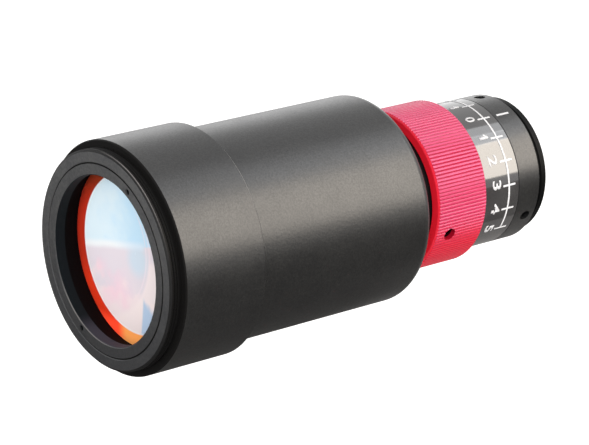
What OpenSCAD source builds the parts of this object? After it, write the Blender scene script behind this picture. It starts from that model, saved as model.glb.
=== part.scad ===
// Variable laser beam expander: a large output lens in a wide head, a plain
// barrel, and a knurled ring that turns a cam sleeve to focus the input lens.
// The optical axis is X.  The input face is the plane x = 0, and the output
// lens looks towards -X.  Angles around the axis start at +Y and grow to +Z.

/* [Output end] */
// Diameter of the wide head that carries the output lens
head_d = 63; // [61:0.5:68]
// Length of the wide head
head_len = 25.4; // [24:0.2:32]
// Diameter of the threaded output lens cell
cell_d = 59; // [58:0.2:60]
// How far the lens cell stands out of the head
cell_stand_out = 3.4; // [2.5:0.1:5]
// Diameter of the output lens
lens_d = 50.8; // [50:0.1:51]
// Depth of the lens rim behind the front face
lens_depth = 8.7; // [7.5:0.1:9.5]
// Thickness of the output lens at its rim
lens_rim_t = 5; // [4:0.2:6]
// Width of the flat rim around the output lens's dished front surface
lens_land_w = 3.8; // [1:0.1:4.4]
// Radius of curvature of the dished front surface of the output lens
lens_front_r = 180; // [150:5:400]
// Radius of curvature of the domed inner surface of the output lens
lens_back_r = 95; // [85:5:200]
// Bore of the retaining ring in front of the output lens
retainer_bore_d = 45.6; // [44:0.2:48]

/* [Barrel] */
// Diameter of the barrel
barrel_d = 58.2; // [57.6:0.2:59]
// Length of the barrel behind the head
barrel_len = 58.9; // [50:0.1:70]
// Bore of the barrel
barrel_bore_d = 51; // [48:0.5:52]
// Radius of the rounding on the rear edge of the barrel
barrel_round = 3; // [1:0.5:3.5]
// Thickness of the wall that closes the rear of the barrel
barrel_wall_t = 5; // [4:0.5:7]

/* [Focus ring] */
// Diameter over the knurl
ring_d = 46; // [45.4:0.2:47]
// Number of knurl ridges
knurl_count = 144; // [120:4:160]
// Depth of the knurl grooves
knurl_depth = 0.35; // [0.15:0.05:0.45]
// Length of the knurled ring
ring_len = 18.3; // [17:0.1:20]
// Diameter of the scale sleeve
scale_d = 41.8; // [41:0.1:42.4]
// Length of the scale sleeve
scale_len = 13.7; // [12.5:0.1:15]
// Turn from rest to the last scale division, each way
turn_limit = 96; // [60:1:110]
// Travel of the input lens from rest, each way
travel = 6; // [3:0.5:6.5]

/* [Input end] */
// Length of the index collar
collar_len = 7.8; // [7:0.1:9]
// Length of the end ring
end_ring_len = 3.7; // [3.2:0.1:4.5]
// Diameter of the end ring
end_ring_d = 39.2; // [38:0.1:40.4]
// Bore of the M30 x 1 input thread, at its crests
thread_bore_d = 28.92; // [28.4:0.02:29.2]
// Length of the input thread
thread_len = 8; // [6:0.5:9]
// Diameter of the input lens
input_lens_d = 19.9; // [18:0.1:20.4]

/* [Hidden] */
$fn = 96;

// Cutters run past the faces that they cut by this much
past = 1;

// Stations along the axis, from the input face towards the output lens
collar_rear = -end_ring_len;
collar_front = collar_rear - collar_len;
scale_gap = 0.1;
scale_rear = collar_front - scale_gap;
scale_front = scale_rear - scale_len;
ring_rear = scale_front;
ring_front = ring_rear - ring_len;
neck_gap = 6.7;
barrel_rear = ring_front - neck_gap;
head_rear = barrel_rear - barrel_len;
head_front = head_rear - head_len;
face = head_front - cell_stand_out;

// Head and barrel
spigot_len = 8;
spigot_d = 56;
cell_thread_len = 14;
head_edge = 0.3;

// Output lens cell, from the front face inwards
retainer_t = 3.1;
retainer_d = 52;
spacer_d = 51.9;
spacer_bore_d = 50.3;
lens_front = face + lens_depth;
lens_rear = lens_front + lens_rim_t;
cushion_t = 1;
cushion_bore_d = 48;
lens_seat_spare = 0.1;
lens_seat_w = (lens_d - cushion_bore_d) / 2 + lens_seat_spare;
cell_rear = head_front + cell_thread_len;
cell_bore_d = 47.2;
lens_seat_gap = 0.1;
cell_seat_d = lens_d + lens_seat_gap;
cell_edge = 0.5;
seam = 0.3;
thread_pitch = 0.85;
thread_depth = 0.4;
spanner_hole_d = 1.6;
spanner_circle_d = 48.8;

// Guide tube and what turns on it
journal_d = 34;
neck_d = 40.4;
neck_len = 9;
neck_end = barrel_rear + neck_len;
washer_t = 0.5;
cam_front = neck_end + washer_t;
cam_rear = collar_front - washer_t;
washer_inset = 0.3;
cam_running_gap = 0.1;
cam_bore_d = journal_d + cam_running_gap;
cam_d = 38;
lock_nut_t = 5;
tube_front = barrel_rear - barrel_wall_t - lock_nut_t;
tube_bore_d = 28;
relief_len = 1.5;
relief_d = 30.4;
ring_face_bore_d = 41.4;

// Input lens carriage
carriage_x = (cam_front + cam_rear) / 2;
carriage_len = 20;
slide_gap = 0.08;
carriage_d = tube_bore_d - slide_gap;
carriage_bore_d = 18;
lens_seat_depth = 7.5;
input_lens_t = 3.5;
input_ring_t = 2.5;
input_ring_bore_d = 17;
input_dish_r = 42;
pin_d = 4;
pin_slot_d = pin_d + slide_gap;
cam_slot_gap = 0.24;
cam_slot_d = pin_d + cam_slot_gap;
pin_foot = 10.6;
pin_tip_gap = 0.3;
pin_tip = cam_d / 2 - pin_tip_gap;
pin_angles = [0, 180];
cam_steps = 48;

// Angles of the screws and marks around the axis
index_angle = 117.4;
collar_screw_angles = [86.5, 206.5, 326.5];
ring_screw_angles = [20, 200];
collar_screw_d = 3.2;
collar_screw_sink = 1.2;
collar_screw_from_rear = 3.4;
collar_screw_x = collar_rear - collar_screw_from_rear;
ring_screw_d = 3.8;
ring_screw_sink = 1.5;
ring_screw_from_front = 5.7;
ring_screw_x = ring_front + ring_screw_from_front;

// Finishes
satin_grey = [0.33, 0.33, 0.34];
dark_grey = [0.22, 0.22, 0.23];
matt_black = [0.06, 0.06, 0.065];
crimson = [0.85, 0.11, 0.24];
amber = [0.95, 0.42, 0.12];
steel = [0.55, 0.55, 0.56];
bronze = [0.62, 0.45, 0.22];
rubber_black = [0.08, 0.08, 0.08];

// A solid turned about the X axis from an outline of [radius, x] points
module turned(outline) {
    rotate([0, 90, 0]) rotate_extrude() polygon(outline);
}

// A round bar along X from x = a to x = b
module bar(a, b, d) {
    translate([a, 0, 0]) rotate([0, 90, 0]) cylinder(h = b - a, d = d);
}

// A plain ring along X
module plain_ring(a, b, outer_d, inner_d) {
    difference() {
        bar(a, b, outer_d);
        bar(a - past, b + past, inner_d);
    }
}

// A bar pointing out from the axis, between two radii, at an angle around it
module radial_bar(x, angle, r_in, r_out, d, sides = $fn) {
    rotate([angle, 0, 0]) translate([x, r_in, 0]) rotate([-90, 0, 0])
        cylinder(h = r_out - r_in, d = d, $fn = sides);
}

// Grub screws with hexagon sockets, sunk in their tapped holes
module grub_screws(x, angles, r_in, r_out, d) {
    socket_d = d * 0.55;
    socket_depth = d * 0.45;
    for (angle = angles)
        difference() {
            radial_bar(x, angle, r_in, r_out, d);
            radial_bar(x, angle, r_out - socket_depth, r_out + past, socket_d, 6);
        }
}

// How far a ground surface has fallen away from its pole at a distance from the axis
function sag(curve_r, r) = sign(curve_r) * (abs(curve_r) - sqrt(curve_r * curve_r - r * r));

// A lens whose rim runs from x = a to x = b.  A positive radius of curvature
// is a domed surface and a negative one is dished.  Each may have a flat land
// around it.
module lens(a, b, d, front_r, rear_r, front_land = 0, rear_land = 0) {
    bands = 16;
    r = d / 2;
    front_edge = r - front_land;
    rear_edge = r - rear_land;
    turned(concat(
        [for (i = [0 : bands]) let (y = front_edge * i / bands)
            [y, a - sag(front_r, front_edge) + sag(front_r, y)]],
        [if (front_land > 0) [r, a]],
        [if (rear_land > 0) [r, b]],
        [for (i = [bands : -1 : 0]) let (y = rear_edge * i / bands)
            [y, b + sag(rear_r, rear_edge) - sag(rear_r, y)]]
    ));
}

// A point at a radius and an angle, for outlines across the axis
function polar(r, angle) = [r * cos(angle), r * sin(angle)];

// Outline of a straight knurl: flat crests parted by V grooves
function knurl_outline(d, depth, count) = [
    for (i = [0 : count - 1], corner = [0, 1, 2])
        let (pitch = 360 / count, crest_from = 0.28, crest_to = 0.72)
        corner == 0 ? polar(d / 2 - depth, pitch * i)
        : corner == 1 ? polar(d / 2, pitch * (i + crest_from))
        : polar(d / 2, pitch * (i + crest_to))
];

module head_housing() {
    r = head_d / 2;
    color(satin_grey) difference() {
        turned([
            [0, head_front], [r - head_edge, head_front], [r, head_front + head_edge],
            [r, head_rear - head_edge], [r - head_edge, head_rear], [0, head_rear],
        ]);
        bar(head_front - past, cell_rear, cell_d);
        bar(cell_rear - past, head_rear + past, barrel_bore_d);
        bar(head_rear - spigot_len, head_rear + past, spigot_d);
    }
}

// The cell's outside thread shows as rings between its rim and the head
module output_lens_cell() {
    r = cell_d / 2;
    rim = 1;
    turns = floor((cell_stand_out - rim) / thread_pitch);
    color(dark_grey) difference() {
        turned(concat(
            [[0, face], [r - cell_edge, face], [r, face + cell_edge]],
            [for (i = [0 : turns - 1], corner = [0, 1, 2])
                let (start = face + rim + i * thread_pitch)
                corner == 0 ? [r, start]
                : corner == 1 ? [r - thread_depth, start + thread_pitch * 0.4]
                : [r, start + thread_pitch * 0.8]],
            [[r, cell_rear], [0, cell_rear]]
        ));
        bar(face - past, lens_front, retainer_d);
        turned([
            [0, face - past], [retainer_d / 2 + seam + past, face - past],
            [retainer_d / 2, face + seam], [0, face + seam],
        ]);
        bar(lens_front - past, lens_rear + cushion_t, cell_seat_d);
        bar(lens_rear, cell_rear + past, cell_bore_d);
    }
}

// Ground from amber infrared crystal: dished outside and domed inside, with
// a flat rim on each side
module output_lens() {
    color(amber) lens(lens_front, lens_rear, lens_d, -lens_front_r, lens_back_r,
        lens_land_w, lens_seat_w);
}

module lens_spacer() {
    color(matt_black) plain_ring(face + retainer_t, lens_front, spacer_d, spacer_bore_d);
}

module lens_cushion() {
    color(rubber_black)
        plain_ring(lens_rear, lens_rear + cushion_t, lens_d, cushion_bore_d);
}

// Screwed in with a pin spanner in its two holes
module output_retaining_ring() {
    r = retainer_d / 2;
    bore_r = retainer_bore_d / 2;
    spanner_depth = 2;
    color(dark_grey) difference() {
        turned([
            [bore_r + seam, face], [r - seam, face], [r, face + seam],
            [r, face + retainer_t], [bore_r, face + retainer_t], [bore_r, face + seam],
        ]);
        for (angle = [index_angle, index_angle + 180])
            rotate([angle, 0, 0]) translate([0, spanner_circle_d / 2, 0])
                bar(face - past, face + spanner_depth, spanner_hole_d);
    }
}

// Bored from the front, with a spigot for the head and a closed rear
module barrel() {
    r = barrel_d / 2;
    spigot_r = spigot_d / 2;
    rounding = [for (a = [0 : 9 : 90])
        [r - barrel_round + barrel_round * cos(a), barrel_rear - barrel_round + barrel_round * sin(a)]];
    color(satin_grey) difference() {
        turned(concat(
            [[0, head_rear - spigot_len], [spigot_r, head_rear - spigot_len],
             [spigot_r, head_rear], [r, head_rear]],
            rounding,
            [[0, barrel_rear]]
        ));
        bar(head_rear - spigot_len - past, barrel_rear - barrel_wall_t, barrel_bore_d);
        bar(barrel_rear - barrel_wall_t - past, barrel_rear + past, journal_d);
    }
}

// Holds the guide tube to the rear wall of the barrel, from inside
module tube_lock_nut() {
    nut_d = 42;
    slot_w = 4;
    slot_depth = 2;
    color(matt_black) difference() {
        plain_ring(tube_front, tube_front + lock_nut_t, nut_d, journal_d);
        for (angle = [0, 90])
            rotate([angle, 0, 0]) translate([tube_front - past, -nut_d / 2 - past, -slot_w / 2])
                cube([slot_depth + past, nut_d + 2 * past, slot_w]);
    }
}

// The neck, the journal for the cam sleeve, two straight slots for the guide
// pins, and the input thread
module guide_tube() {
    slot_spare = 0.2;
    slot_half = travel + slot_spare;
    color(matt_black) difference() {
        union() {
            bar(tube_front, 0, journal_d);
            bar(barrel_rear, neck_end, neck_d);
        }
        bar(tube_front - past, past, tube_bore_d);
        bar(-thread_len - relief_len, -thread_len, relief_d);
        bar(-thread_len - past, past, thread_bore_d);
        for (angle = pin_angles) {
            for (end = [-1, 1])
                radial_bar(carriage_x + end * slot_half, angle, pin_foot, neck_d / 2, pin_slot_d);
            rotate([angle, 0, 0]) translate([carriage_x - slot_half, pin_foot, -pin_slot_d / 2])
                cube([2 * slot_half, journal_d / 2, pin_slot_d]);
        }
    }
}

module front_glide_washer() {
    color(bronze) plain_ring(neck_end, cam_front, neck_d - 2 * washer_inset, journal_d);
}

module rear_glide_washer() {
    color(bronze) plain_ring(cam_rear, collar_front, cam_d - 2 * washer_inset, journal_d);
}

module index_collar() {
    r = scale_d / 2;
    edge = 0.25;
    color(satin_grey) difference() {
        turned([
            [0, collar_front], [r - edge / 2, collar_front], [r, collar_front + edge / 2],
            [r, collar_rear - edge], [r - edge, collar_rear], [0, collar_rear],
        ]);
        bar(collar_front - past, collar_rear + past, journal_d);
        for (angle = collar_screw_angles)
            radial_bar(collar_screw_x, angle, journal_d / 2 - past, r + past, collar_screw_d);
    }
}

module collar_set_screws() {
    color(steel) grub_screws(collar_screw_x, collar_screw_angles,
        journal_d / 2, scale_d / 2 - collar_screw_sink, collar_screw_d);
}

// A wide groove parts the end ring's rim from the index collar
module end_ring() {
    r = end_ring_d / 2;
    groove_len = 1.7;
    groove_depth = 0.35;
    groove_slope = 0.2;
    edge = 0.2;
    hole_d = 1.2;
    hole_depth = 2;
    hole_circle_r = (r + journal_d / 2) / 2;
    color(matt_black) difference() {
        turned([
            [journal_d / 2, collar_rear], [r - groove_depth, collar_rear],
            [r - groove_depth, collar_rear + groove_len - groove_slope],
            [r - edge, collar_rear + groove_len], [r, collar_rear + groove_len + edge],
            [r, -edge], [r - edge, 0], [journal_d / 2, 0],
        ]);
        for (angle = [45, 225])
            rotate([angle, 0, 0]) translate([0, hole_circle_r, 0])
                bar(-hole_depth, past, hole_d);
    }
}

// Straight knurl from end to end, with a slightly coned front face
module focus_ring() {
    r = ring_d / 2;
    cone_len = 0.5;
    cone_inset = 0.5;
    rear_bevel = 0.6;
    step_gap = 0.1;
    color(crimson) difference() {
        intersection() {
            translate([ring_front, 0, 0]) rotate([0, 90, 0])
                linear_extrude(ring_len) polygon(knurl_outline(ring_d, knurl_depth, knurl_count));
            turned([
                [0, ring_front], [ring_face_bore_d / 2, ring_front],
                [r - cone_inset, ring_front + cone_len], [r, ring_front + 2 * cone_len],
                [r, ring_rear - rear_bevel], [r - rear_bevel, ring_rear], [0, ring_rear],
            ]);
        }
        bar(ring_front - past, cam_front + step_gap, ring_face_bore_d);
        bar(ring_front - past, ring_rear + past, cam_d);
        for (angle = ring_screw_angles)
            radial_bar(ring_screw_x, angle, cam_d / 2 - past, r + past, ring_screw_d);
    }
}

module ring_set_screws() {
    color(steel) grub_screws(ring_screw_x, ring_screw_angles,
        cam_d / 2, ring_d / 2 - ring_screw_sink, ring_screw_d);
}

module scale_sleeve() {
    r = scale_d / 2;
    edge = 0.12;
    color(dark_grey) difference() {
        turned([
            [0, scale_front], [r, scale_front], [r, scale_rear - edge],
            [r - edge, scale_rear], [0, scale_rear],
        ]);
        bar(scale_front - past, scale_rear + past, cam_d);
    }
}

// Two helical slots turn the ring's rotation into travel of the input lens.
// Each slot is milled as a row of round cuts, one after another.
module cam_sleeve() {
    color(bronze) difference() {
        plain_ring(cam_front, cam_rear, cam_d, cam_bore_d);
        for (angle = pin_angles, step = [0 : cam_steps])
            let (part = 2 * step / cam_steps - 1)
            radial_bar(carriage_x + part * travel, angle - part * turn_limit,
                cam_bore_d / 2 - past, cam_d / 2 + past, cam_slot_d, 24);
    }
}

// Slides in the guide tube without turning
module lens_carriage() {
    from = carriage_x - carriage_len / 2;
    to = carriage_x + carriage_len / 2;
    r = carriage_d / 2;
    edge = 0.4;
    color(matt_black) difference() {
        turned([
            [0, from], [r - edge, from], [r, from + edge],
            [r, to - edge], [r - edge, to], [0, to],
        ]);
        bar(from - past, to + past, carriage_bore_d);
        bar(from - past, from + lens_seat_depth, input_lens_d + lens_seat_gap);
        for (angle = pin_angles)
            radial_bar(carriage_x, angle, pin_foot, r + past, pin_d);
    }
}

// Dished on both sides, so that it spreads the beam
module input_lens() {
    seat = carriage_x - carriage_len / 2 + lens_seat_depth;
    color(amber) lens(seat - input_lens_t, seat, input_lens_d, -input_dish_r, -input_dish_r);
}

module input_retaining_ring() {
    seat = carriage_x - carriage_len / 2 + lens_seat_depth - input_lens_t;
    color(matt_black)
        plain_ring(seat - input_ring_t, seat, input_lens_d + lens_seat_gap, input_ring_bore_d);
}

module guide_pins() {
    color(steel) for (angle = pin_angles)
        radial_bar(carriage_x, angle, pin_foot, pin_tip, pin_d);
}

head_housing();
output_lens_cell();
output_lens();
lens_spacer();
lens_cushion();
output_retaining_ring();
barrel();
tube_lock_nut();
guide_tube();
front_glide_washer();
rear_glide_washer();
index_collar();
collar_set_screws();
end_ring();
focus_ring();
scale_sleeve();
cam_sleeve();
ring_set_screws();
lens_carriage();
input_lens();
input_retaining_ring();
guide_pins();
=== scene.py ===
import math

import bpy
from mathutils import Matrix, Vector


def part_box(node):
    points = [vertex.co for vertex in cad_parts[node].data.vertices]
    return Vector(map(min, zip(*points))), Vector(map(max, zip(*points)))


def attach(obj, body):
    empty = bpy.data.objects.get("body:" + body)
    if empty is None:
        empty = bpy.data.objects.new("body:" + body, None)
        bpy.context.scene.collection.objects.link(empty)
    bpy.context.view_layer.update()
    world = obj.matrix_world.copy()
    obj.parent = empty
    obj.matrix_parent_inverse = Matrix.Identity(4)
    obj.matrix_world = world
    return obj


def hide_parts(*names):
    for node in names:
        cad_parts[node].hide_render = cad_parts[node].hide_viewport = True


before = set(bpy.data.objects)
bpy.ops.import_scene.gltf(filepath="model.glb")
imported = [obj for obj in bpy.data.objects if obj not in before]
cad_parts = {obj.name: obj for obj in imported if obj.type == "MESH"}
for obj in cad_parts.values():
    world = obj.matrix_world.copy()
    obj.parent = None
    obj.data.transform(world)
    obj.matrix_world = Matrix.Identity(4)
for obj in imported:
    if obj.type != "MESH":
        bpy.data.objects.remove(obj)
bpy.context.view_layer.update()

MM = 0.001


# Camera: its place in the part's frame, and the way it looks

CAMERA_PLACE = Vector((-0.51371, -0.55523, 0.23345))
CAMERA_AZIMUTH = math.radians(-38.30)
CAMERA_TILT = math.radians(18.43)
CAMERA_LENS_MM = 167.43
SENSOR_MM = 36


def set_camera():
    """A long lens, level from side to side, that looks down along the part."""
    level = Vector((-math.sin(CAMERA_AZIMUTH), math.cos(CAMERA_AZIMUTH), 0))
    forward = level * math.cos(CAMERA_TILT) - Vector((0, 0, math.sin(CAMERA_TILT)))
    camera = bpy.data.objects.new("camera", bpy.data.cameras.new("camera"))
    bpy.context.scene.collection.objects.link(camera)
    camera.data.lens = CAMERA_LENS_MM
    camera.data.sensor_width = SENSOR_MM
    camera.data.clip_start = 0.01
    camera.data.clip_end = 20
    camera.location = CAMERA_PLACE
    camera.rotation_mode = "QUATERNION"
    camera.rotation_quaternion = forward.to_track_quat("-Z", "Y")
    bpy.context.scene.camera = camera


# Node trees: numbers are written as Python expressions

DULL_IOR = 1.2
# Painted shade: the tint that darkens a colour towards the bottom, and the heights where it starts
# and where it is full.
LOWER_SHADE = (0.40, 0.40, 0.42, 1)
SHADE_TOP = 22
SHADE_BOTTOM = -28


class Value:
    """A node's output that holds a number. An operator on it adds a Math node."""

    def __init__(self, graph, output):
        self.graph = graph
        self.output = output

    def maths(self, operation, *operands):
        settings = {"operation": operation}
        return self.graph.value("ShaderNodeMath", settings, dict(enumerate(operands)))

    def __add__(self, other):
        return self.maths("ADD", self, other)

    def __sub__(self, other):
        return self.maths("SUBTRACT", self, other)

    def __rsub__(self, other):
        return self.maths("SUBTRACT", other, self)

    def __mul__(self, other):
        return self.maths("MULTIPLY", self, other)

    def __truediv__(self, other):
        return self.maths("DIVIDE", self, other)

    def __pow__(self, power):
        return self.maths("POWER", self, power)

    __radd__ = __add__
    __rmul__ = __mul__

    def most(self, other):
        """The greater of the two."""
        return self.maths("MAXIMUM", self, other)

    def size(self):
        """The number without its sign."""
        return self.maths("ABSOLUTE", self)

    def ramp(self, low, high):
        """Goes smoothly from 0 at low to 1 at high; low may be the greater."""
        if low > high:
            return 1 - self.ramp(high, low)
        settings = {"interpolation_type": "SMOOTHSTEP"}
        return self.graph.value("ShaderNodeMapRange", settings, {0: self, 1: low, 2: high})

    def near(self, middle, half_width):
        """1 at the middle, down to 0 at half_width away from it."""
        return (self - middle).size().ramp(half_width, 0)


class Graph:
    """A node tree that nodes are added to."""

    def __init__(self, tree):
        self.tree = tree

    def node(self, kind, settings, sockets):
        """Adds a node; a socket takes a plain value, another node's output or a Value."""
        made = self.tree.nodes.new(kind)
        for name, setting in settings.items():
            setattr(made, name, setting)
        self.set_sockets(made, sockets)
        return made

    def set_sockets(self, node, sockets):
        for key, source in sockets.items():
            source = getattr(source, "output", source)
            if isinstance(source, bpy.types.NodeSocket):
                self.tree.links.new(source, node.inputs[key])
            else:
                node.inputs[key].default_value = source

    def value(self, kind, settings, sockets):
        return Value(self, self.node(kind, settings, sockets).outputs[0])

    def mixed(self, factor, first, second, how="MIX"):
        """The second colour over the first, as far as the factor goes from 0 to 1."""
        settings = {"data_type": "RGBA", "blend_type": how}
        return self.node("ShaderNodeMix", settings, {0: factor, 6: first, 7: second}).outputs[2]

    def seen(self):
        """1 for the rays that show the white background: those of the camera, gloss and glass."""
        path = self.node("ShaderNodeLightPath", {}, {})
        camera, glossy, through = (
            Value(self, path.outputs[name])
            for name in ("Is Camera Ray", "Is Glossy Ray", "Is Transmission Ray")
        )
        return camera.most(glossy).most(through)


class Finish(Graph):
    """A material, with its places x, y and z in millimetres in the part's frame."""

    def __init__(self, name, **plain):
        self.material = bpy.data.materials.new(name)
        self.material.use_nodes = True
        super().__init__(self.material.node_tree)
        self.shader = self.tree.nodes["Principled BSDF"]
        self.shade(plain)
        self.place = self.node("ShaderNodeTexCoord", {}, {}).outputs["Object"]
        parts = self.node("ShaderNodeSeparateXYZ", {}, {0: self.place}).outputs
        self.x, self.y, self.z = (Value(self, part) / MM for part in parts)

    def shade(self, sockets):
        """Sets the surface shader's sockets, named as in the shader but with _ for a space."""
        named = {key.replace("_", " "): source for key, source in sockets.items()}
        self.set_sockets(self.shader, named)

    def radius(self, y=0, z=0):
        """Distance from the axis, or from a line beside it."""
        return ((self.y - y) * (self.y - y) + (self.z - z) * (self.z - z)) ** 0.5

    def noise(self, grain_mm, detail=2.0, place=None):
        """Random blotches from 0 to 1, about as wide as grain_mm."""
        sockets = {"Vector": place or self.place, "Scale": 1 / (grain_mm * MM), "Detail": detail}
        return self.value("ShaderNodeTexNoise", {}, sockets)

    def stretched(self, x, y, z):
        """The place, scaled differently in X, Y and Z."""
        sockets = {0: self.place, "Scale": (x, y, z)}
        return self.node("ShaderNodeMapping", {}, sockets).outputs[0]

    def cover(self, mask, colour, roughness):
        """Lays a duller finish over what there is, where the mask is 1."""
        output = self.tree.nodes["Material Output"]
        first = output.inputs["Surface"].links[0].from_socket
        sockets = {"Base Color": colour, "Roughness": roughness, "IOR": DULL_IOR}
        second = self.node("ShaderNodeBsdfPrincipled", {}, sockets).outputs[0]
        both = self.node("ShaderNodeMixShader", {}, {0: mask, 1: first, 2: second}).outputs[0]
        self.set_sockets(output, {"Surface": both})

    def fade(self):
        """Paints shade on the colour, deepening it towards the lowest side."""
        colour = self.shader.inputs["Base Color"].links[0].from_socket
        shaded = self.mixed(1.0, colour, LOWER_SHADE, "MULTIPLY")
        self.shade({"Base Color": self.mixed(self.z.ramp(SHADE_TOP, SHADE_BOTTOM), colour, shaded)})

    def bump(self, height_mm):
        """Roughens the surface by a height in millimetres."""
        sockets = {"Height": height_mm, "Distance": MM}
        return self.node("ShaderNodeBump", {}, sockets).outputs[0]


def rgb(red, green, blue):
    """A colour from its 0 to 255 display values."""
    def linear(level):
        level /= 255
        return level / 12.92 if level <= 0.04045 else ((level + 0.055) / 1.055) ** 2.4
    return (linear(red), linear(green), linear(blue), 1)


# Stage: a white surround, a pale floor and soft studio lamps

FLOOR_Z = -0.25
FLOOR_SIZE = 8
WORLD_FILL = 0.35
FLOOR_GLOW = 0.66
CARD_Z = -0.12
MIDDLE = Vector((-0.07, 0, 0))


def light_world():
    """White where it is seen, and weaker as a light."""
    world = bpy.data.worlds.new("surround")
    bpy.context.scene.world = world
    world.use_nodes = True
    graph = Graph(world.node_tree)
    background = world.node_tree.nodes["Background"]
    strength = WORLD_FILL + (1 - WORLD_FILL) * graph.seen()
    graph.set_sockets(background, {"Color": (1, 1, 1, 1), "Strength": strength})


def lay_floor():
    """A floor that glows, where it is seen, just enough to look white."""
    bpy.ops.mesh.primitive_plane_add(size=FLOOR_SIZE, location=(0, 0, FLOOR_Z))
    floor = bpy.context.object
    floor.name = "floor"
    pale = Finish("pale_floor", Roughness=0.9, Emission_Color=(1, 1, 1, 1))
    pale.shade({"Base Color": rgb(235, 235, 235), "Specular IOR Level": 0.0})
    pale.shade({"Emission Strength": FLOOR_GLOW * pale.seen()})
    floor.data.materials.append(pale.material)


def lay_card(name, low, high, shade):
    """A grey card under the part, seen only in gloss, that keeps the underside deep."""
    middle = [(a + b) / 2 for a, b in zip(low, high)]
    bpy.ops.mesh.primitive_plane_add(size=1, location=(*middle, CARD_Z))
    card = bpy.context.object
    card.name = name
    card.scale = (high[0] - low[0], high[1] - low[1], 1)
    grey = Finish(name, Roughness=0.9)
    grey.shade({"Base Color": rgb(shade, shade, shade), "Specular IOR Level": 0.0})
    card.data.materials.append(grey.material)
    card.visible_camera = False
    card.visible_diffuse = False
    card.visible_transmission = False
    card.visible_shadow = False


def softbox(name, along, angle, distance, length, width, radiance, colour, in_gloss=True):
    """A flat soft lamp facing the part, its length along the axis and its width around it.

    Its radiance is the level that it shows in a mirror.
    """
    lamp = bpy.data.lights.new(name, "AREA")
    lamp.shape = "RECTANGLE"
    lamp.size = length
    lamp.size_y = width
    lamp.color = colour
    lamp.energy = radiance * math.pi * length * width
    holder = bpy.data.objects.new(name, lamp)
    bpy.context.scene.collection.objects.link(holder)
    away = around_axis(along, angle)
    turned = math.radians(angle)
    around = Vector((0, -math.sin(turned), math.cos(turned)))
    axes = Matrix((around.cross(away), around, away)).transposed()
    holder.location = MIDDLE + away * distance
    holder.rotation_mode = "QUATERNION"
    holder.rotation_quaternion = axes.to_quaternion()
    holder.visible_glossy = in_gloss


def around_axis(along, angle):
    """A direction that leans along +X and points out from the axis at an angle in degrees."""
    out = math.sqrt(1 - along * along)
    turned = math.radians(angle)
    return Vector((along, out * math.cos(turned), out * math.sin(turned)))


def set_lamps():
    """A warm key, cooler lamps over the top, a lamp behind and two fills that gloss doesn't show."""
    warm = (1.0, 0.91, 0.80)
    cool = (0.96, 0.985, 1.02)
    white = (1.0, 1.0, 1.0)
    softbox("key_softbox", along=0.62, angle=148.5, distance=1.2,
            length=0.70, width=0.88, radiance=6.3, colour=warm)
    softbox("top_softbox", along=0.645, angle=99, distance=1.2,
            length=0.50, width=0.25, radiance=1.9, colour=cool)
    softbox("shoulder_softbox", along=0.64, angle=114, distance=1.2,
            length=0.55, width=0.25, radiance=3.0, colour=cool)
    softbox("back_softbox", along=0.6, angle=18, distance=1.5,
            length=1.0, width=0.7, radiance=1.0, colour=white)
    softbox("side_fill", along=-0.45, angle=152, distance=0.9,
            length=0.5, width=0.7, radiance=4.5, colour=white, in_gloss=False)
    softbox("front_fill", along=-0.93, angle=140, distance=0.36,
            length=0.2, width=0.2, radiance=5.4, colour=white, in_gloss=False)


# Finishes

# Places along the axis, from the input end's rear face, and radii
FACE = -138.0
HEAD_FRONT = -134.6
HEAD_REAR = -109.2
HEAD_BEVEL_RADIUS = 31.1
RETAINER_BORE_RADIUS = 22.8
CELL_SEAM_RADIUS = 26.0
CELL_RADIUS = 29.5
CLEAR_RADIUS = 21.6

# The focus ring: its grooves in the solid and as a rolled knurl leaves them, and its ends
KNURL_DEPTH = 0.35
ROLLED_DEPTH = 0.19
DEPTH_SPARE = 0.01
FRONT_CONE = 1.0
REAR_BEVEL = 0.6
SAME_POINT = 0.001
SHARP_ANGLE = 20

DEEP_BLACK = (0.0055, 0.0052, 0.0050, 1)
SHADOW_BLACK = (0.0030, 0.0048, 0.0058, 1)
# The next three are painted light: the lit low part of a bore, and highlights on edges.
LIT_BORE_WALL = (0.034, 0.032, 0.042, 1)
PAINTED_EDGE_HIGHLIGHT = (0.16, 0.15, 0.145, 1)
PAINTED_BEVEL_HIGHLIGHT = (0.30, 0.29, 0.28, 1)


def satin_anodised(name, level, roughness=0.34):
    """Bead-blasted aluminium, dyed: a fine even grain, faint clouds and soft dull specks.

    Its level is the share of light that it gives back.
    """
    satin = Finish(name, IOR=1.6)
    grain = satin.noise(0.8, 5.0)
    cloud = satin.noise(9.0)
    dark = [part * level for part in (0.72, 0.72, 0.76)] + [1]
    pale = [part * level for part in (1.28, 1.28, 1.25)] + [1]
    satin.shade({
        "Base Color": satin.mixed((grain * 0.7 + cloud * 0.3).ramp(0.3, 0.7), dark, pale),
        "Roughness": roughness - 0.07 + 0.08 * cloud + 0.06 * grain,
        "Normal": satin.bump(grain * 0.025),
    })
    specks = satin.noise(0.45, 3.0).ramp(0.3, 0.7)
    satin.cover(specks * 0.24, dark, 0.5)
    return satin


def head_satin():
    """The body's satin: a painted highlight lies on the upper side of the head's rear bevel, and its
    front chamfer is dark and dull.
    """
    satin = satin_anodised("satin_anodised", 0.010)
    rear_bevel = satin.x.near(HEAD_REAR - 0.1, 0.28)
    outside = satin.radius().ramp(HEAD_BEVEL_RADIUS - 0.3, HEAD_BEVEL_RADIUS)
    upper_side = satin.z.ramp(14, 22)
    front_chamfer = satin.x.ramp(HEAD_FRONT + 0.42, HEAD_FRONT + 0.32)
    # Painted highlight on the rear bevel, only along its upper side.
    satin.cover(rear_bevel * outside * upper_side, PAINTED_BEVEL_HIGHLIGHT, 0.4)
    satin.cover(front_chamfer, DEEP_BLACK, 0.5)
    return satin


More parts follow.
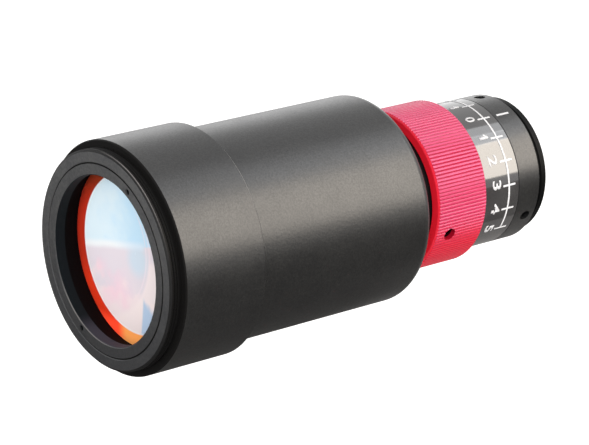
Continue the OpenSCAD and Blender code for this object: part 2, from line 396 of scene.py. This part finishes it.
def retainer_satin():
    """Painted shadow in the bore and the spanner holes, with a painted lit part low in the bore; the
    seam is dark; a painted highlight lies on the bore's lower lip, and painted shade deepens the
    colour towards the bottom.
    """
    satin = satin_anodised("retainer_satin", 0.054, 0.40)
    satin.fade()
    radius = satin.radius()
    lower_side = (0.45 * satin.y - 0.89 * satin.z).ramp(18, 22.5)
    lip = radius.near(RETAINER_BORE_RADIUS + 0.2, 0.18)
    holes = satin.x.ramp(FACE + 0.4, FACE + 0.5)
    bore = radius.ramp(RETAINER_BORE_RADIUS + 0.12, RETAINER_BORE_RADIUS + 0.04)
    seam = radius.ramp(CELL_SEAM_RADIUS - 0.32, CELL_SEAM_RADIUS - 0.2)
    # Painted shade in the bore, lighter low down as if lit there.
    bore_shade_and_light = satin.mixed(satin.z.ramp(-18.5, -22), SHADOW_BLACK, LIT_BORE_WALL)
    # Painted highlight on the lower part of the bore's lip.
    satin.cover(lip * lower_side * 0.8, PAINTED_EDGE_HIGHLIGHT, 0.4)
    # Painted shadow in the holes and in all that lies behind the face.
    satin.cover(holes, SHADOW_BLACK, 0.6)
    satin.cover(bore, bore_shade_and_light, 0.6)
    satin.cover(seam, DEEP_BLACK, 0.7)
    return satin


def cell_satin():
    """Painted shade on the chamfer; the thread and the seam are dark and dull; a painted highlight
    lies along the chamfer's upper edge, and painted shade deepens the colour towards the bottom.
    """
    satin = satin_anodised("cell_satin", 0.060, 0.40)
    satin.fade()
    radius = satin.radius()
    upper_side = (0.82 * satin.z - 0.57 * satin.y).ramp(22, 29)
    painted_edge_light = upper_side * (0.25 + 0.65 * satin.z.ramp(12, 26))
    chamfer = radius.ramp(CELL_RADIUS - 0.7, CELL_RADIUS - 0.5)
    edge = radius.ramp(CELL_RADIUS - 0.22, CELL_RADIUS - 0.12)
    thread = satin.x.ramp(FACE + 0.45, FACE + 0.55)
    seam = radius.ramp(CELL_SEAM_RADIUS + 0.15, CELL_SEAM_RADIUS + 0.05)
    # Painted shade on the chamfer.
    satin.cover(chamfer * 0.85, DEEP_BLACK, 0.6)
    # Painted highlight along the chamfer's upper edge.
    satin.cover(edge * painted_edge_light, PAINTED_EDGE_HIGHLIGHT, 0.4)
    satin.cover(thread, DEEP_BLACK, 0.5)
    satin.cover(seam, DEEP_BLACK, 0.7)
    return satin


def gloss_anodised():
    """Polished anodising, with the finest turning marks around it."""
    gloss = Finish("gloss_anodised", IOR=1.88)
    cloud = gloss.noise(6.0)
    turning = gloss.noise(0.25, place=gloss.stretched(1, 0.02, 0.02))
    dark = (0.032, 0.031, 0.032, 1)
    pale = (0.044, 0.043, 0.044, 1)
    gloss.shade({
        "Base Color": gloss.mixed(cloud.ramp(0.3, 0.7), dark, pale),
        "Roughness": 0.07 + 0.05 * cloud,
        "Normal": gloss.bump(turning * 0.0004),
    })
    return gloss


def crimson_anodised():
    """Bright-dipped aluminium under a crimson dye.

    Painted shade deepens the colour on the lower side and in the knurl's grooves, and painted light
    makes the front cone brightest.
    """
    crimson = Finish("crimson_anodised", IOR=1.55, Specular_Tint=(0.85, 0.60, 1.0, 1))
    cloud = crimson.noise(5.0)
    grain = crimson.noise(0.2)
    low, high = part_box("focus_ring")
    front = low.x / MM
    crest = high.z / MM
    # Painted shade on the lower side.
    lower_side = crimson.z.ramp(-1, -13)
    # Painted shade in the knurl's grooves.
    grooves = crimson.radius().ramp(crest - 0.04, crest - 0.16)
    # Painted light on the front cone.
    front_cone = crimson.x.ramp(front + FRONT_CONE, front + FRONT_CONE - 0.1)
    dye_and_painted_light = crimson.mixed(cloud.ramp(0.3, 0.7), (0.51, 0.026, 0.084, 1), (0.56, 0.032, 0.098, 1))
    dye_and_painted_light = crimson.mixed(lower_side, dye_and_painted_light, (0.62, 0.005, 0.024, 1))
    dye_and_painted_light = crimson.mixed(grooves * 0.9, dye_and_painted_light, (0.40, 0.004, 0.018, 1))
    crimson.shade({
        "Base Color": crimson.mixed(front_cone, dye_and_painted_light, (0.92, 0.013, 0.030, 1)),
        "Roughness": 0.28 + 0.06 * grain,
        "Normal": crimson.bump(grain * 0.003),
    })
    return crimson


def matt_black(name, level, roughness, ior=1.22):
    """Dull black anodising; its level is the share of light that it gives back."""
    black = Finish(name, IOR=ior)
    grain = black.noise(0.3)
    dark = [part * level for part in (0.75, 0.78, 0.85)] + [1]
    pale = [part * level for part in (1.25, 1.25, 1.30)] + [1]
    black.shade({
        "Base Color": black.mixed(grain.ramp(0.3, 0.7), dark, pale),
        "Roughness": roughness + 0.1 * grain,
        "Normal": black.bump(grain * 0.004),
    })
    return black


def oiled_bronze():
    """Bearing bronze, darkened unevenly by oil."""
    bronze = Finish("oiled_bronze", Metallic=1.0)
    cloud = bronze.noise(3.0, 3.0)
    dark = (0.42, 0.25, 0.10, 1)
    pale = (0.58, 0.38, 0.17, 1)
    bronze.shade({
        "Base Color": bronze.mixed(cloud.ramp(0.3, 0.7), dark, pale),
        "Roughness": 0.28 + 0.14 * cloud,
    })
    return bronze


def screw_steel():
    """Black oxide on alloy steel."""
    steel = Finish("screw_steel", Metallic=1.0)
    cloud = steel.noise(0.8, 3.0)
    dark = (0.016, 0.018, 0.018, 1)
    pale = (0.035, 0.038, 0.038, 1)
    steel.shade({
        "Base Color": steel.mixed(cloud.ramp(0.3, 0.7), dark, pale),
        "Roughness": 0.35 + 0.15 * cloud,
    })
    return steel


def black_rubber():
    """Moulded elastomer, almost without gloss."""
    rubber = Finish("black_rubber", IOR=1.5)
    grain = rubber.noise(0.4)
    rubber.shade({
        "Base Color": rubber.mixed(grain, (0.01, 0.01, 0.01, 1), (0.02, 0.02, 0.02, 1)),
        "Roughness": 0.7 + 0.1 * grain,
    })
    return rubber


def amber_rim(crystal, across, height):
    """Bare crystal with painted light and shade: deep at the sides, a shaded brown on top and a lit
    orange at the bottom.
    """
    amber = crystal.mixed(height.ramp(-0.65, -0.20), rgb(244, 60, 30), rgb(200, 50, 30))
    amber = crystal.mixed(height.ramp(0.35, 1.0), amber, rgb(146, 60, 30))
    bottom = height.ramp(0.0, -0.5) * across.ramp(0.34, 0.12)
    return crystal.mixed(bottom, amber, rgb(255, 158, 70))


def rim_glow(crystal, across, height, rim):
    """A painted glow, given off at the bottom of the rim for the light that the clear crystal carries
    there.
    """
    colour = crystal.mixed(across.ramp(0.34, 0.12), (0.50, 0.045, 0.020, 1), (0.27, 0.12, 0.05, 1))
    return crystal.mixed(height.ramp(-0.86, -1.02) * rim, (0, 0, 0, 1), colour)


def coated_face(crystal, across, height):
    """Painted reflections on the coating: pale blue above a tilted painted streak of light, and rose,
    warm and blue below it.

    The tilt is 0 along the streak. The rings lie around a line beside the axis.
    """
    drift = crystal.noise(7.0, 3.0) - 0.5
    tilt = height + 0.204 * across - 0.088
    above = crystal.mixed((across + drift).ramp(0.75, 0.0), rgb(228, 246, 255), rgb(200, 234, 255))
    below = crystal.mixed((height + drift).ramp(-0.35, -0.6), rgb(234, 224, 232), rgb(250, 232, 234))
    face = crystal.mixed((tilt + 0.10 * drift).ramp(0.0, 0.03), below, above)
    # A painted pool of reflected light.
    pool = crystal.radius(-1.0, -1.5).ramp(6.5, 2.0) * (1 - tilt.ramp(-0.02, 0.02))
    face = crystal.mixed(pool * 0.65, face, rgb(202, 230, 246))
    # A painted streak of reflected light.
    streak = (tilt + 0.04 * drift).near(0.01, 0.085) * across.ramp(-0.25, -0.12)
    bright = crystal.mixed(across.ramp(0.5, -0.1), rgb(248, 252, 255), rgb(222, 240, 255))
    face = crystal.mixed(streak * 0.95, face, bright)
    rose = (height + drift).near(-0.55, 0.4) * (across + drift).near(0.42, 0.45)
    face = crystal.mixed(rose * 0.55, face, rgb(255, 208, 226))
    rings = crystal.radius(14, 0)
    arcs = rings.near(18.8, 0.5).most(rings.near(20.4, 0.7)) * across.ramp(0.05, -0.15)
    face = crystal.mixed(arcs * 0.45, face, rgb(255, 236, 244))
    warm = rings.ramp(19.0, 21.0) * tilt.ramp(-0.12, -0.26)
    face = crystal.mixed(warm * 0.75, face, rgb(255, 240, 238))
    blue = crystal.y.ramp(-3.4, -4.2) * (crystal.z - 0.7 * crystal.y + 6 * drift).ramp(-7.0, -9.5)
    return crystal.mixed(blue * 0.8, face, rgb(168, 204, 238))


def infrared_crystal():
    """Coated crystal: a pale face with painted reflections, inside a bare amber rim with painted
    light and a painted glow at the bottom.
    """
    crystal = Finish("infrared_crystal", IOR=1.9, Coat_Weight=1.0, Coat_Roughness=0.03, Coat_IOR=1.45)
    across = crystal.y / CLEAR_RADIUS
    height = crystal.z / CLEAR_RADIUS
    coated = crystal.radius().ramp(CLEAR_RADIUS + 0.15, CLEAR_RADIUS - 0.15)
    lip = crystal.radius().near(CLEAR_RADIUS - 0.3, 0.35)
    face = crystal.mixed(lip * 0.5, coated_face(crystal, across, height), rgb(255, 255, 255))
    crystal.shade({
        "Base Color": crystal.mixed(coated, amber_rim(crystal, across, height), face),
        # Painted glow: the rim gives off light at its bottom.
        "Emission Color": rim_glow(crystal, across, height, 1 - coated),
        "Emission Strength": 1.0,
        "Roughness": 0.3 - 0.05 * coated,
    })
    return crystal


def white_paint():
    """Screen-printed ink, a little uneven."""
    paint = Finish("white_print", IOR=1.35)
    grain = paint.noise(0.3)
    paint.shade({
        "Base Color": paint.mixed(grain, rgb(212, 213, 216), rgb(220, 221, 224)),
        "Roughness": 0.5 + 0.1 * grain,
    })
    return paint


def give(finish, *names):
    """Puts a finish on solids of the frame."""
    for name in names:
        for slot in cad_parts[name].material_slots:
            slot.material = finish.material


# Pieces

def start_piece(name):
    """Names the object just added, and its mesh."""
    piece = bpy.context.object
    piece.name = name
    piece.data.name = name
    return piece


def deselect_all():
    bpy.ops.object.select_all(action="DESELECT")


def alone(piece):
    """Leaves only the piece selected, and active."""
    deselect_all()
    piece.select_set(True)
    bpy.context.view_layer.objects.active = piece


def settle(piece):
    """Moves the piece's place into its mesh."""
    alone(piece)
    bpy.ops.object.transform_apply(location=True, rotation=True, scale=True)


def knurled_ring(finish):
    """The focus ring with its grooves as shallow as a rolled knurl leaves them.

    A groove's ends keep to the cone at the front and to the bevel at the rear: both slope at
    45 degrees there.
    """
    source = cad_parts["focus_ring"]
    ring = bpy.data.objects.new("knurled_ring", source.data.copy())
    bpy.context.scene.collection.objects.link(ring)
    alone(ring)
    bpy.ops.object.mode_set(mode="EDIT")
    bpy.ops.mesh.select_all(action="SELECT")
    bpy.ops.mesh.remove_doubles(threshold=SAME_POINT * MM)
    bpy.ops.object.mode_set(mode="OBJECT")
    bpy.ops.mesh.customdata_custom_splitnormals_clear()
    low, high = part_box("focus_ring")
    for vertex in ring.data.vertices:
        place = vertex.co
        radius = math.hypot(place.y, place.z)
        sunk = high.z - radius
        if 0 < sunk < (KNURL_DEPTH + DEPTH_SPARE) * MM:
            rise = sunk * (1 - ROLLED_DEPTH / KNURL_DEPTH)
            place.y *= 1 + rise / radius
            place.z *= 1 + rise / radius
            if place.x < low.x + FRONT_CONE * MM:
                place.x += rise
            if place.x > high.x - REAR_BEVEL * MM:
                place.x -= rise
    bpy.ops.object.shade_smooth_by_angle(angle=math.radians(SHARP_ANGLE))
    for slot in ring.material_slots:
        slot.material = finish.material
    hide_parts("focus_ring")
    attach(ring, "focus")


# Scale: 5-0-5, a division every 19.2 degrees, read against the line on the collar. Sizes are in
# millimetres, and places along the axis are from the carrier's front.
DIVISION = 19.2
LAST_DIVISION = 5
INDEX_ANGLE = 117.4
TICK_LONG = 4.5
TICK_WIDE = 0.55
TICK_FROM_FRONT = 9.98
CORNER_SHARE = 0.2
CIRCLE_FROM_FRONT = 9.9
CIRCLE_STEPS = 96
DIGIT_FROM_FRONT = 5.4
DIGIT_HIGH = 3.1
DIGIT_SHARE_OF_FONT = 0.73
DIGIT_BROADER = 1.55
ZERO_BROADER = 1.0
DIGIT_BOLD = 0.09
DIGIT_LEAD = 2.0
FLAG_LONG = 1.7
FLAG_WIDE = 0.5
FLAG_LEAN = 42
FLAG_LEFT = 0.35
FLAG_BELOW_TOP = 0.55
INDEX_LONG = 4.5
INDEX_WIDE = 0.65
INDEX_FROM_FRONT = 3.25
PRINT_T = 0.03
PRINT_LIFT = 0.02


def wrap(piece, carrier, angle, x, ink):
    """Stands a flat mark off its carrier at an angle around the axis, then presses it on."""
    turned = math.radians(angle)
    out = Vector((0, math.cos(turned), math.sin(turned)))
    around = Vector((0, -math.sin(turned), math.cos(turned)))
    along = Vector((1, 0, 0))
    stand_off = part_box(carrier)[1].z + MM
    frame_axes = Matrix((around, along, out)).transposed().to_4x4()
    piece.matrix_world = Matrix.Translation(out * stand_off + along * x) @ frame_axes
    alone(piece)
    press = piece.modifiers.new("press", "SHRINKWRAP")
    press.wrap_method = "PROJECT"
    press.wrap_mode = "ON_SURFACE"
    press.use_project_z = True
    press.use_negative_direction = True
    press.use_positive_direction = False
    press.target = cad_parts[carrier]
    press.offset = (PRINT_LIFT + PRINT_T) * MM
    bpy.ops.object.modifier_apply(modifier="press")
    body = piece.modifiers.new("body", "SOLIDIFY")
    body.thickness = PRINT_T * MM
    body.offset = -1
    bpy.ops.object.modifier_apply(modifier="body")
    settle(piece)
    piece.data.materials.clear()
    piece.data.materials.append(ink)


def tick(name, long, wide):
    """A flat rounded stroke along its own Y axis."""
    bpy.ops.mesh.primitive_plane_add(size=MM)
    piece = start_piece(name)
    piece.scale = (wide, long, 1)
    settle(piece)
    bpy.ops.object.mode_set(mode="EDIT")
    bpy.ops.mesh.select_all(action="SELECT")
    bpy.ops.mesh.bevel(offset=wide * CORNER_SHARE * MM, segments=3, affect="VERTICES")
    bpy.ops.object.mode_set(mode="OBJECT")
    return piece


def digit(name, number):
    """A flat numeral, its middle at the origin; a 1 also gets a sloping flag at its top."""
    bpy.ops.object.text_add()
    piece = start_piece(name)
    piece.data.body = str(number)
    piece.data.align_x = "CENTER"
    piece.data.size = DIGIT_HIGH * MM / DIGIT_SHARE_OF_FONT
    piece.data.resolution_u = 4
    piece.data.offset = DIGIT_BOLD * MM
    piece.scale = (DIGIT_BROADER if number else ZERO_BROADER, 1, 1)
    bpy.ops.object.convert(target="MESH")
    piece = bpy.context.object
    bpy.ops.object.origin_set(type="ORIGIN_GEOMETRY", center="BOUNDS")
    piece.location = (0, 0, 0)
    settle(piece)
    if number == 1:
        flag = tick(name + "_flag", FLAG_LONG, FLAG_WIDE)
        flag.rotation_euler.z = math.radians(-FLAG_LEAN)
        flag.location = (-FLAG_LEFT * MM, (DIGIT_HIGH / 2 - FLAG_BELOW_TOP) * MM, 0)
        settle(flag)
        alone(piece)
        flag.select_set(True)
        bpy.ops.object.join()
    return piece


def circle_line(name, carrier, x, ink):
    """The line around the sleeve from the last division to the other last one.

    One side of a small square is spun around the axis into a band, which then gets its thickness.
    """
    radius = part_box(carrier)[1].z + (PRINT_LIFT + PRINT_T) * MM
    reach = DIVISION * LAST_DIVISION
    start = math.radians(INDEX_ANGLE - reach)
    bpy.ops.mesh.primitive_plane_add(size=TICK_WIDE * MM)
    piece = start_piece(name)
    bpy.ops.object.mode_set(mode="EDIT")
    bpy.ops.mesh.select_all(action="SELECT")
    bpy.ops.mesh.delete(type="ONLY_FACE")
    bpy.ops.object.mode_set(mode="OBJECT")
    for vertex in piece.data.vertices:
        vertex.select = vertex.co.y > 0
    bpy.ops.object.mode_set(mode="EDIT")
    bpy.ops.mesh.delete(type="VERT")
    bpy.ops.mesh.select_all(action="SELECT")
    here = Vector((x, radius * math.cos(start), radius * math.sin(start)))
    bpy.ops.transform.translate(value=here - Vector((0, -TICK_WIDE * MM / 2, 0)))
    sweep = -math.radians(2 * reach)
    bpy.ops.mesh.spin(steps=CIRCLE_STEPS, angle=sweep, center=(0, 0, 0), axis=(1, 0, 0))
    bpy.ops.object.mode_set(mode="OBJECT")
    body = piece.modifiers.new("body", "SOLIDIFY")
    body.thickness = PRINT_T * MM
    bpy.ops.object.modifier_apply(modifier="body")
    bpy.ops.object.mode_set(mode="EDIT")
    bpy.ops.mesh.select_all(action="SELECT")
    bpy.ops.mesh.normals_make_consistent(inside=False)
    bpy.ops.object.mode_set(mode="OBJECT")
    piece.data.materials.append(ink)
    return piece


def print_scale(ink):
    """Prints the circle, its divisions and their digits, and the line that they are read against."""
    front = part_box("scale_sleeve")[0].x
    marks = [circle_line("scale_circle", "scale_sleeve", front + CIRCLE_FROM_FRONT * MM, ink)]
    for step in range(-LAST_DIVISION, LAST_DIVISION + 1):
        angle = INDEX_ANGLE + step * DIVISION
        side = "a" if step < 0 else "b"
        mark = tick(f"scale_tick_{side}{abs(step)}", TICK_LONG, TICK_WIDE)
        wrap(mark, "scale_sleeve", angle, front + TICK_FROM_FRONT * MM, ink)
        number = digit(f"scale_digit_{side}{abs(step)}", abs(step))
        wrap(number, "scale_sleeve", angle - DIGIT_LEAD, front + DIGIT_FROM_FRONT * MM, ink)
        marks += [mark, number]
    for mark in marks:
        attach(mark, "focus")
    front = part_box("index_collar")[0].x
    index = tick("index_line", INDEX_LONG, INDEX_WIDE)
    wrap(index, "index_collar", INDEX_ANGLE, front + INDEX_FROM_FRONT * MM, ink)
    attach(index, "housing")


# The scene

bpy.context.scene.view_settings.view_transform = "Standard"
set_camera()
deselect_all()
light_world()
lay_floor()
lay_card("wide_card", low=(-0.90, -0.75), high=(0.03, 0.80), shade=105)
lay_card("side_card", low=(0.03, -0.75), high=(0.70, -0.06), shade=105)
lay_card("corner_card", low=(0.03, -0.06), high=(0.40, 0.45), shade=165)
set_lamps()

ink = white_paint().material

give(head_satin(), "head_housing", "barrel")
give(satin_anodised("collar_satin", 0.014, 0.32), "index_collar")
give(retainer_satin(), "output_retaining_ring")
give(cell_satin(), "output_lens_cell")
give(matt_black("matt_black", 0.006, 0.45), "guide_tube", "tube_lock_nut", "lens_carriage")
give(matt_black("matt_black_inside", 0.0012, 0.7), "lens_spacer", "input_retaining_ring")
give(matt_black("rim_black", 0.002, 0.42, 1.18), "end_ring")
crimson = crimson_anodised()
give(crimson, "focus_ring")
knurled_ring(crimson)
give(gloss_anodised(), "scale_sleeve")
give(oiled_bronze(), "cam_sleeve", "front_glide_washer", "rear_glide_washer")
give(screw_steel(), "collar_set_screws", "ring_set_screws", "guide_pins")
give(black_rubber(), "lens_cushion")
give(infrared_crystal(), "output_lens", "input_lens")

print_scale(ink)
